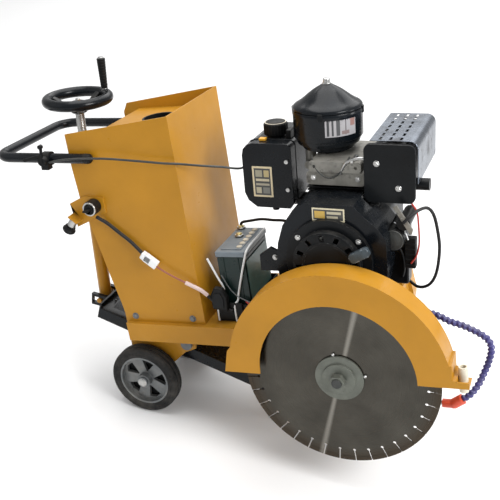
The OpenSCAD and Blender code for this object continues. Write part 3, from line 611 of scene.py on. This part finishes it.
# ---------- handlebar ----------
BAR = TILT @ move(-0.011, 0, 0.790) @ spin(2.6, "Y")
bar_y, bend, bar_x = 0.1735, 0.050, -0.300      # half width, bend radius, back of the bar
half = [(0.0, -bar_y, 0)] + [(bar_x + bend - s, -bar_y + bend - c, 0)
                             for c, s in (polar(bend, a) for a in range(0, 91, 9))]
whole = half + [(x, -y, z) for x, y, z in half[::-1]]
pipe("handlebar_tube", whole, 0.0135, GLOSS, "chassis", BAR, 28, node="handlebar",
     slot="black_paint")
for tag, sgn in (("r", -1), ("l", 1)):
    lathe("bar_end_" + tag, [(0, 0.0095), (0.007, 0.0088), (0.011, 0.0060),
          (0.0132, 0.0015), (0.0138, -0.004), (0.0136, -0.012)], SATIN, "chassis",
          BAR @ move(0, sgn * bar_y, 0) @ spin(90, "Y"), 40, slot="black_plastic")
    for x in (-0.050, -0.014):
        pipe("bar_stud_%s%d" % (tag, -x * 1000), [(x, sgn * 0.1599, 0), (x, sgn * bar_y, 0)],
             0.008, GLOSS, "chassis", BAR, 20, slot="black_paint")

# ---------- lift screw, hand wheel and grip ----------
crest, root, ridge = 0.0130, 0.0119, 0.005       # a two-start thread, 10 mm a turn
thread = [(0, 0.262), (0.0115, 0.262)]
for k in range(69):
    z = 0.264 + ridge * k
    if 0.468 < z < 0.526:        # plain between the thrust collars
        continue
    thread += [(crest, z), (crest, z + 0.0018), (root, z + 0.0025), (root, z + 0.0043)]
thread += [(crest, 0.6115), (0, 0.6118)]
lathe("lift_screw_thread", thread, ZINC, "lift_wheel", LIFT, 40, node="lift_screw",
      slot="zinc_steel", sharp=60)
for tag, z in (("low", 0.472), ("high", 0.5143)):
    lathe("thrust_collar_" + tag, [(0.012, z), (0.018, z), (0.018, z + 0.0097),
          (0.012, z + 0.0097), (0.012, z)], ZINC, "lift_wheel", LIFT, 48, slot="zinc_steel",
          bevel=0.0008)
rim_r = 0.0855
lathe("hand_wheel_rim", oval(rim_r, 0.0145, 0.0150, 15), GLOSS, "lift_wheel",
      LIFT @ move(0, 0, 0.624), 96, node="hand_wheel", slot="black_plastic", sharp=60)
lathe("hand_wheel_hub", [(0.0130, 0.586), (0.0215, 0.586), (0.024, 0.589), (0.024, 0.606),
      (0.021, 0.616), (0.014, 0.618), (0, 0.6182)], ENAMEL, "lift_wheel", LIFT, 48,
      slot="black_plastic")
lathe("hand_wheel_nut", [(0, 0.6255), (0.006, 0.6255), (0.008, 0.6235), (0.008, 0.6183)], ZINC,
      "lift_wheel", LIFT, 6, slot="zinc_steel", sharp=20)
for k in range(3):
    arm = [(0.018, 0.590), (0.018, 0.603), (0.040, 0.608), (0.062, 0.624), (0.0760, 0.631),
           (0.0760, 0.619), (0.066, 0.611), (0.046, 0.597), (0.030, 0.590)]
    slab("hand_wheel_spoke_%d" % k, arm, -0.0095, 0.0095, ENAMEL, "lift_wheel",
         LIFT @ spin(k * 120 - 50, "Z"), bevel=0.0035, seg=3, slot="black_plastic")
GRIP = LIFT @ spin(55, "Z") @ move(rim_r - 0.001, 0, 0)
lathe("grip_pin", [(0, 0.7285), (0.007, 0.7280), (0.008, 0.7268), (0.008, 0.7246),
      (0.005, 0.7245), (0.005, 0.640), (0.0098, 0.640), (0.0105, 0.634), (0.0105, 0.615)], ZINC,
      "lift_wheel", GRIP, 32, slot="zinc_steel", sharp=30)
bore, foot, head = 0.0052, 0.6405, 0.7240        # of the grip's sleeve, along LIFT's Z
grip = [(bore, foot), (0.0085, foot), (0.0092, 0.6420)]
for k in range(9):
    z = 0.648 + 0.0078 * k
    r = 0.0096 + 0.0026 * (z - foot) / (head - foot)
    grip += [(r, z), (r + 0.0002, z + 0.0050), (r - 0.0005, z + 0.0057),
             (r - 0.0005, z + 0.0070)]
grip += [(0.0122, 0.7195), (0.0120, 0.7228), (0.0104, head), (bore, head), (bore, foot)]
lathe("crank_grip_sleeve", grip, SATIN, "crank_handle", GRIP, 40, node="crank_grip",
      slot="black_plastic", sharp=45)

# ---------- air cleaner ----------
CAN = ENG @ move(0.582, -0.006, 0)
CAN_R = 0.0880
can = [(0, 0.750), (0.064, 0.750), (0.066, 0.752), (0.066, 0.763), (0.079, 0.7645),
       (0.0805, 0.768), (0.0822, 0.777), (0.0862, 0.7785), (0.0876, 0.781), (CAN_R, 0.836),
       (0.0892, 0.8400), (0.0896, 0.8450), (0.0884, 0.8492), (0, 0.8495)]
lathe("air_cleaner_can", can, GLOSS, "chassis", CAN, 96, node="air_cleaner",
      slot="black_paint", sharp=30)
dome = [(0, 0.8502), (0.0866, 0.8502), (0.0876, 0.8512), (0.0878, 0.8542), (0.0868, 0.8566),
        (0.0830, 0.8605), (0.0760, 0.8645), (0.0690, 0.8685), (0.0620, 0.8737), (0.0550, 0.8792),
        (0.0480, 0.8848), (0.0410, 0.8902), (0.0340, 0.8950), (0.0270, 0.8992), (0.0205, 0.9028),
        (0.0150, 0.9061), (0.0118, 0.9078), (0, 0.9080)]
lathe("air_cleaner_lid", dome, GLOSS, "chassis", CAN, 96, node="air_cleaner_dome",
      slot="black_paint", sharp=30)
for k in range(4):
    block("lid_clip_%d" % k, (0.0868, -0.006, 0.836), (0.0912, 0.006, 0.8535), ENAMEL, "chassis",
          CAN @ spin(k * 90 + 4, "Z"), 0.0010, slot="black_paint")
knob = [(0, 0.9228), (0.0055, 0.9225), (0.0085, 0.9205), (0.0090, 0.9180), (0.0088, 0.9115),
        (0.0115, 0.9108), (0.0118, 0.9083), (0, 0.9083)]
lathe("cleaner_nut_knob", knob, ZINC, "cleaner_lock", CAN, 12, node="cleaner_nut",
      slot="black_paint", sharp=25)

# ---------- fuel tank trim and cap ----------
seam = [(0.390, 0.586), (0.366, 0.604), (0.357, 0.626), (0.357, 0.728), (0.361, 0.745),
        (0.372, 0.757), (0.388, 0.762), (0.480, 0.762), (0.489, 0.758), (0.493, 0.750),
        (0.493, 0.600), (0.483, 0.586)]
mid, proud = Vector((0.425, 0.674)), 1.022       # the seam stands out of the tank's outline
wide = [tuple(mid + (Vector(p) - mid) * proud) for p in seam]
slab("tank_seam", wide, -0.014, -0.009, GLOSS, "chassis", ENG, bevel=0.0015,
     slot="black_paint")
cap = [(0, 0.802), (0.022, 0.802), (0.0245, 0.8012), (0.0250, 0.7990), (0.0285, 0.7985),
       (0.0305, 0.7965), (0.0310, 0.7900), (0.0310, 0.7705), (0.0300, 0.7675), (0.0245, 0.7670)]
CAP = ENG @ move(0.430, 0.024, 0)
lathe("fuel_cap_cover", cap, SATIN, "fuel_filler", CAP, 72, node="fuel_cap",
      slot="black_paint", sharp=35)
for k in range(24):
    block("cap_rib_%d" % k, (0.0302, -0.0016, 0.7685), (0.0322, 0.0016, 0.7955), SATIN,
          "fuel_filler", CAP @ spin(k * 15, "Z"), 0.0006, slot="black_paint")
lathe("cap_ring", [(0.0285, 0.7988), (0.0288, 0.8000), (0.0262, 0.8002), (0.0260, 0.7990),
      (0.0285, 0.7988)], CREAM, "fuel_filler", CAP, 60, slot="cream_paint")

# ---------- fasteners ----------
big, small, up = 0.0070, 0.0050, Matrix()
spots = [((x, y, 0.314), face, big) for x in (0.016, 0.198)
         for y, face in ((-0.160, FRONT), (0.160, TO_Y))]
spots += [((x, -0.208, 0.290), up, big) for x in (0.375, 0.410)]
spots += [((x, y, 0.380), up, big) for x in (0.512, 0.753) for y in (-0.085, 0.085)]
hexes("chassis_bolts", spots, GREY, "chassis", TILT, node="bolts", slot="zinc_steel")
spots = [((CRANK[0] + x, -0.214, CRANK[2] + z), FRONT, small)
         for x, z in (polar(0.0955, a) for a in (38, 142, 218, 322))]
spots += [((x, -0.112, 0.700), FRONT, small) for x in (0.570, 0.682)]
spots += [((x, -0.124, z), FRONT, 0.0055)
          for x, z in ((0.731, 0.746), (0.783, 0.686), (0.458, 0.478))]
hexes("engine_bolts", spots, ZINC, "chassis", ENG, slot="zinc_steel")

# ---------- switches ----------
KEY = TILT @ move(-0.032, -0.164, 0.655) @ FRONT
lathe("key_switch_body", [(0, 0.032), (0.0135, 0.032), (0.0150, 0.0305), (0.0185, 0.0300),
      (0.0208, 0.0270), (0.0210, 0.0040), (0.0195, 0.0)], SATIN, "chassis", KEY, 48,
      node="switch_bodies", slot="black_plastic", sharp=30)
torus("key_switch_ring", 0.0170, 0.0030, ZINC, "chassis", KEY @ move(0, 0, 0.0305), 48,
      slot="zinc_steel")
STOP = TILT @ move(-0.096, -0.181, 0.621) @ spin(-139, "Y")
lathe("stop_switch_body", [(0.0045, 0.0240), (0.0105, 0.0240), (0.0120, 0.0225),
      (0.0120, 0.0005), (0, 0.0005)], ZINC, "chassis", STOP, 40, slot="black_plastic",
      sharp=30)
lathe("stop_knob_head", [(0, 0.0475), (0.0110, 0.0472), (0.0160, 0.0455), (0.0183, 0.0425),
      (0.0185, 0.0395), (0.0170, 0.0365), (0.0148, 0.0350), (0.0145, 0.0290), (0, 0.0290)],
      SATIN, "stop", STOP, 48, node="stop_knob", slot="black_plastic", sharp=35)
lathe("stop_knob_neck", [(0, 0.0288), (0.0075, 0.0288), (0.0085, 0.0275), (0.0085, 0.0248),
      (0.0040, 0.0246), (0.0040, 0.0060), (0, 0.0060)], ZINC, "stop", STOP, 32,
      slot="zinc_steel", sharp=30)

# ---------- cables and wires, as part.scad routes them ----------
THROTTLE = mm([(-126, -191, 788), (-100, -192, 793), (-60, -192, 796), (0, -192, 796),
               (60, -190, 793), (140, -182, 782), (215, -180, 773), (242, -170, 768),
               (258, -140, 755), (275, -97, 737), (315, -60, 720), (348, -25, 703),
               (356, 30, 695), (358, 90, 680), (368, 158, 650), (430, 168, 620),
               (500, 155, 580), (540, 126, 560)])
HARNESS = mm([(-24, -180, 627), (-16, -172, 615), (0, -169, 602), (30, -169, 575),
              (60, -169, 548), (95, -172, 510), (130, -176, 478), (170, -176, 452),
              (210, -174, 430), (245, -166, 405), (262, -150, 372), (280, -143, 346),
              (315, -141, 333)])
STARTER = mm([(806, -156, 600), (822, -154, 614), (840, -136, 624), (856, -110, 620),
              (868, -101, 600), (875, -100, 560), (877, -100, 508), (866, -100, 446),
              (846, -98, 411), (815, -85, 397), (780, -50, 402), (744, -20, 412)])
BATTERY = mm([(298, 36, 516), (306, 34, 524), (332, 30, 530), (369, 24, 537), (405, 15, 538),
              (446, 0, 542), (480, -20, 540), (512, -30, 535)])
pipe("throttle_cable_sleeve", smooth_line(THROTTLE), 0.003, IRON, "chassis", TILT, 12,
     node="throttle_cable", slot="black_rubber")
loom = smooth_line(HARNESS)
for name, lo, hi, r, tone in (("harness_sleeve", 0.0, 0.43, 0.0050, WIRE),
                              ("harness_sleeve_1", 0.41, 0.67, 0.0026, BROWN_WIRE),
                              ("harness_sleeve_2", 0.65, 0.79, 0.0054, PINK),
                              ("harness_sleeve_3", 0.77, 1.0, 0.0048, WIRE)):
    pipe(name, loom[int(lo * len(loom)):math.ceil(hi * len(loom))], r, tone, "chassis", TILT,
         16, node="harness" if name == "harness_sleeve" else None, slot="black_rubber")
pipe("starter_cable", smooth_line(STARTER), 0.0040, WIRE, "chassis", TILT, 14,
     slot="black_rubber")
pipe("battery_cable", smooth_line(BATTERY), 0.0040, WIRE, "chassis", TILT, 14,
     slot="black_rubber")
block("harness_plug", (-0.021, -0.008, -0.012), (0.021, 0.008, 0.012), WHITE_WIRE, "chassis",
      TILT @ move(0.112, -0.174, 0.495) @ spin(40, "Y"), 0.002, slot="cream_paint")

# ---------- battery trim, plugs and loose wires ----------
block("battery_lid", (0.2795, -0.1215, 0.4845), (0.3665, 0.0515, 0.5015), LID, "chassis", TILT,
      0.0040, seg=3, slot="battery_green")
block("battery_lid_step", (0.2930, -0.1080, 0.5010), (0.3530, 0.0380, 0.5040), LID, "chassis",
      TILT, 0.0015, slot="battery_green")
for k in range(6):
    lathe("cell_cap_%d" % k, [(0, 0.0035), (0.0065, 0.0032), (0.0080, 0.0022), (0.0082, 0)],
          CREAM, "chassis", TILT @ move(0.343, -0.092 + 0.0235 * k, 0.5038), 24,
          slot="cream_paint")
for n, (x, y) in enumerate(((0.314, -0.020), (0.298, 0.036))):       # the two posts
    lathe("battery_post_%d" % n, [(0, 0.5135), (0.0068, 0.5133), (0.0080, 0.5120),
          (0.0086, 0.5035), (0, 0.5035)], BRASS, "chassis", TILT @ move(x, y, 0), 32,
          slot="zinc_steel")
    torus("battery_clamp_%d" % n, 0.0105, 0.0026, ZINC, "chassis", TILT @ move(x, y, 0.5075), 36,
          slot="zinc_steel")
for name, x in (("battery_front_rib", 0.2990), ("battery_front_rib_2", 0.3420)):
    block(name, (x, -0.1200, 0.3250), (x + 0.0040, -0.1175, 0.4830), CASE, "chassis", TILT,
          0.0008, slot="battery_green")
for n, line in enumerate((
        [(373, -117, 503), (372, -124, 498), (352, -124, 440), (333, -124, 380), (329, -127, 360),
         (322, -137, 347), (321, -137, 300)],
        [(262, -134, 486), (268, -128, 460), (278, -125, 428), (291, -124, 393), (284, -126, 372),
         (272, -137, 352), (268, -137, 300)],
        [(367, 40, 503), (368, -20, 503), (368, -80, 503), (371, -121, 500)])):
    pipe("white_strap_%d" % n, smooth_line(mm(line)), 0.0030, WHITE_WIRE, "chassis", TILT, 12,
         slot="cream_paint")
pipe("thin_lead", smooth_line(mm([(291, -125, 434), (310, -127, 395), (330, -127, 372),
     (352, -128, 361), (366, -130, 356)])), 0.0016, GREY, "chassis", TILT, 10,
     slot="black_rubber")
pipe("red_lead", smooth_line(mm([(352, -126, 357), (366, -134, 352), (379, -138, 356),
     (392, -139, 362)])), 0.0028, RED_WIRE, "chassis", TILT, 10, slot="red_plastic")
slab("relay_box", [(0.2610, 0.3420), (0.3060, 0.3360), (0.3090, 0.3760), (0.2980, 0.4040),
     (0.2740, 0.4080), (0.2600, 0.3840)], -0.1530, -0.1355, SATIN, "chassis", TILT,
     bevel=0.0045, seg=3, slot="black_plastic")
slab("relay_cover", [(0.2660, 0.3500), (0.2960, 0.3460), (0.2990, 0.3740), (0.2920, 0.3900),
     (0.2760, 0.3920), (0.2660, 0.3780)], -0.1550, -0.1525, ENAMEL, "chassis", TILT,
     bevel=0.0010, slot="black_plastic")
# a thin panel over the battery's right side in that lighter teal: painted light on that side
slab("battery_right_painted_light", [(0.3650, 0.3500), (0.3656, 0.3500), (0.3656, 0.4700),
     (0.3650, 0.4700)], -0.112, 0.040, BATTERY_LIT_SIDE, "chassis", TILT, slot="battery_green")
block("relay_foot", (0.2640, -0.1390, 0.3060), (0.3440, -0.1350, 0.3560), SATIN, "chassis",
      TILT, 0.002, slot="black_plastic")
block("harness_joiner", (-0.016, -0.009, -0.010), (0.016, 0.009, 0.010), WHITE_WIRE, "chassis",
      TILT @ move(0.100, -0.173, 0.505) @ spin(38, "Y"), 0.002, slot="cream_paint")

# ---------- engine trim ----------
STICKER = CAN @ spin(38, "Z")
low, high, half_wide = 0.7955, 0.8405, 0.040
print_mat = label_mat("air_cleaner_plate", (0.330, 0.320, 0.330), (0.05, 0.05, 0.05), STICKER,
                      (-half_wide, low), (half_wide, high), [
                          (0.05, 0.12, 0.06, 0.94, (0.030, 0.032, 0.035)),
                          (0.19, 0.25, 0.06, 0.94, (0.040, 0.042, 0.045)),
                          (0.33, 0.45, 0.06, 0.94, (0.060, 0.062, 0.065)),
                          (0.62, 0.66, 0.06, 0.94, (0.120, 0.110, 0.115)),
                          (0.80, 0.97, 0.50, 0.92, (0.260, 0.140, 0.120)),
                          (0.50, 0.76, 0.10, 0.30, (0.200, 0.150, 0.145))])
patch = bmesh.new()
rows = [[patch.verts.new((*polar(CAN_R, a - 90), z)) for a in range(-27, 29, 3)]
        for z in (low, high)]
for k in range(len(rows[0]) - 1):
    patch.faces.new([rows[0][k], rows[0][k + 1], rows[1][k + 1], rows[1][k]])
bmesh.ops.solidify(patch, geom=patch.faces[:], thickness=0.0005)
from_bm("air_cleaner_sticker", patch, print_mat, "chassis", STICKER, slot="cream_paint")


def plate(name, lo, hi, paper, ink, bands):
    """A thin printed plate on the engine."""
    print_mat = label_mat(name + "_print", paper, ink, ENG, (lo[0], lo[2]), (hi[0], hi[2]),
                          bands)
    block(name, lo, hi, print_mat, "chassis", ENG, 0.0004, slot="cream_paint")


plate("tank_plate", (0.3830, -0.0510, 0.6160), (0.4380, -0.0496, 0.7000),
      (0.62, 0.53, 0.34), (0.10, 0.09, 0.07), [
          (0.09, 0.91, 0.06, 0.94, (0.035, 0.036, 0.036)),
          (0.16, 0.84, 0.52, 0.60, (0.50, 0.44, 0.30)),
          (0.16, 0.50, 0.66, 0.88, (0.30, 0.28, 0.20)),
          (0.58, 0.84, 0.66, 0.88, (0.42, 0.34, 0.16)),
          (0.16, 0.84, 0.38, 0.45, (0.34, 0.31, 0.23)),
          (0.16, 0.42, 0.12, 0.32, (0.40, 0.36, 0.25)),
          (0.50, 0.84, 0.12, 0.32, (0.16, 0.16, 0.14))])
plate("shroud_plate", (0.5900, -0.2014, 0.6230), (0.6700, -0.1996, 0.6560),
      (0.66, 0.60, 0.42), (0.12, 0.10, 0.06), [
          (0.04, 0.96, 0.10, 0.90, (0.040, 0.040, 0.038)),
          (0.08, 0.40, 0.22, 0.78, (0.52, 0.34, 0.06)),
          (0.46, 0.90, 0.56, 0.76, (0.46, 0.42, 0.30)),
          (0.46, 0.80, 0.24, 0.42, (0.46, 0.42, 0.30))])
block("cap_tag", (0.4000, -0.0300, 0.7622), (0.4180, -0.0140, 0.7690), ORANGE, "chassis", ENG,
      0.0015, slot="cream_paint")
# a black ring standing proud round the tank's filler hole, standing in for the shade inside the
# hole: painted shade
lathe("filler_hole_shade_ring", [(0.0405, 0.8383), (0.0440, 0.8383), (0.0440, 0.8640), (0.0455, 0.8650),
      (0.0455, 0.8675), (0.0405, 0.8675), (0.0405, 0.8383)], SATIN, "chassis",
      TILT @ move(0.165, -0.072, 0), 64, slot="black_rubber")
for n, (x, z) in enumerate((polar(0.0665, 8), polar(0.0665, 98))):
    lathe("flange_pin_%d" % n, [(0, 0.0050), (0.0030, 0.0050), (0.0038, 0.0040), (0.0038, 0)],
          ZINC, BODY["blade"], TILT @ move(SHAFT[0] + x, BLADE_Y - 0.0017, SHAFT[2] + z)
          @ FRONT, 20, slot="zinc_steel")
for n, z in enumerate((0.640, 0.716)):
    lathe("tank_side_bolt_%d" % n, [(0, 0.0060), (0.0052, 0.0056), (0.0060, 0.0040),
          (0.0062, 0.0004), (0.0085, 0.0003), (0.0085, 0)], ZINC, "chassis",
          ENG @ move(0.480, -0.0496, z) @ FRONT, 24, slot="zinc_steel")

slab("engine_strut", [(0.775, 0.650), (0.785, 0.656), (0.824, 0.596), (0.820, 0.582),
     (0.813, 0.588)], -0.1560, -0.1525, CAST, "chassis", ENG, bevel=0.0008,
     slot="cast_aluminium")
lathe("starter_end_cap", [(0, 0.0040), (0.0130, 0.0040), (0.0150, 0.0028), (0.0245, 0.0024),
      (0.0260, 0.0010), (0.0260, 0)], IRON, "chassis", ENG @ move(0.774, -0.150, 0.563) @ FRONT,
      48, slot="cast_aluminium")
block("regulator", (0.7960, -0.1240, 0.4780), (0.8240, -0.1000, 0.5580), SATIN, "chassis", ENG,
      0.003, seg=3, slot="black_plastic")
for k in range(5):
    z = 0.4860 + 0.014 * k
    block("regulator_fin_%d" % k, (0.7985, -0.1265, z), (0.8215, -0.1235, z + 0.0040), SATIN,
          "chassis", ENG, 0.0008, slot="cast_aluminium")
block("starter_guard", (0.7480, -0.1080, 0.4250), (0.8040, -0.0640, 0.5330), ENAMEL, "chassis",
      ENG, 0.006, seg=3, slot="black_paint")
for n, (tone, r, line) in enumerate((
        (RED_WIRE, 0.0022, [(806, -116, 655), (818, -124, 645), (828, -127, 628), (832, -128, 590),
                            (833, -128, 548), (826, -127, 515), (813, -126, 494)]),
        (WHITE_WIRE, 0.0018, [(770, -116, 596), (786, -124, 588), (800, -126, 572),
                              (806, -126, 556)]),
        (SATIN, 0.0030, [(744, -112, 560), (770, -122, 545), (790, -124, 520), (796, -122, 480),
                         (790, -112, 450)]))):
    pipe("engine_lead_%d" % n, smooth_line(mm(line)), r, tone, "chassis", ENG, 10,
         slot="black_rubber")
pipe("head_line", smooth_line(mm([(565, -100, 752), (572, -114, 735), (590, -117, 712),
     (612, -117, 702), (634, -117, 712), (652, -114, 735), (660, -100, 752)])), 0.0022,
     IRON, "chassis", ENG, 10, slot="zinc_steel")
pipe("head_link", smooth_line(mm([(640, -113, 712), (652, -119, 738), (664, -120, 748),
     (690, -119, 756), (704, -116, 750)])), 0.0038, ZINC, "chassis", ENG, 12, slot="zinc_steel")
block("filler_bracket", (0.4665, -0.0060, 0.7615), (0.4800, 0.0300, 0.7860), SATIN, "chassis",
      ENG, 0.003, seg=2, slot="black_plastic")

# ---------- water hose ----------
HOSE_ROUTE = mm([(781.5, -140, 330), (796, -141, 331), (815, -158, 345), (848, -192, 382),
                 (882, -212, 387), (912, -214, 373), (944, -214, 362), (977, -214, 345),
                 (998, -214, 327), (1004, -214, 303), (997, -214, 270), (986, -217, 240),
                 (971, -226, 208), (953, -233, 185), (936, -234, 172)])
hose_path = [TILT @ Vector(v) for v in smooth_line(HOSE_ROUTE, 30)]
hose_r, rib, rib_pitch = 0.0077, 0.0014, 0.0125


def ribbed(run, a):
    """The hose's radius: one rib that winds round it like a screw."""
    return hose_r + rib * math.cos(2 * math.pi * run / rib_pitch - a)


hose = pipe("water_hose_ribbed", hose_path, ribbed, HOSE, "chassis", sides=24,
            node="water_hose", slot="hose_blue", sharp=80)

# ---------- studio ----------
world = bpy.data.worlds.new("studio")
scene.world = world
world.use_nodes = True
sky = world.node_tree.nodes["Background"]
sky.inputs["Color"].default_value = (1, 1, 1, 1)
sky.inputs["Strength"].default_value = 0.50
scene.view_settings.view_transform = "Standard"
floor_mat = bpy.data.materials.new("floor")
floor_mat.use_nodes = True
paper = floor_mat.node_tree.nodes["Principled BSDF"]
paper.inputs["Base Color"].default_value = (0.86, 0.86, 0.86, 1)
paper.inputs["Roughness"].default_value = 0.75
floor_me = bpy.data.meshes.new("floor")
far = 12
floor_me.from_pydata([(-far, -far, 0), (far, -far, 0), (far, far, 0), (-far, far, 0)], [],
                     [(0, 1, 2, 3)])
floor_me.materials.append(floor_mat)
floor = bpy.data.objects.new("floor", floor_me)
scene.collection.objects.link(floor)
for name, at, aim, size, watts in (
        ("key", (3.0, -1.3, 2.5), (0, 0, 0.4), 1.6, 115),
        ("fill", (-2.6, -2.0, 1.8), (0, 0, 0.4), 2.4, 7),
        ("edge", (2.4, 0.4, 1.1), (0.4, 0, 0.5), 0.5, 7),
        ("top", (-0.1, 0.3, 3.6), (0, 0, 0.4), 2.8, 100),
        ("sweep", (-1.0, 7.0, 5.0), (-1.0, 7.0, 0), 8.0, 420)):
    data = bpy.data.lights.new(name, "AREA")
    data.energy, data.size = watts, size
    lamp = bpy.data.objects.new(name, data)
    lamp.location = at
    lamp.rotation_euler = (Vector(aim) - Vector(at)).to_track_quat("-Z", "Y").to_euler()
    scene.collection.objects.link(lamp)
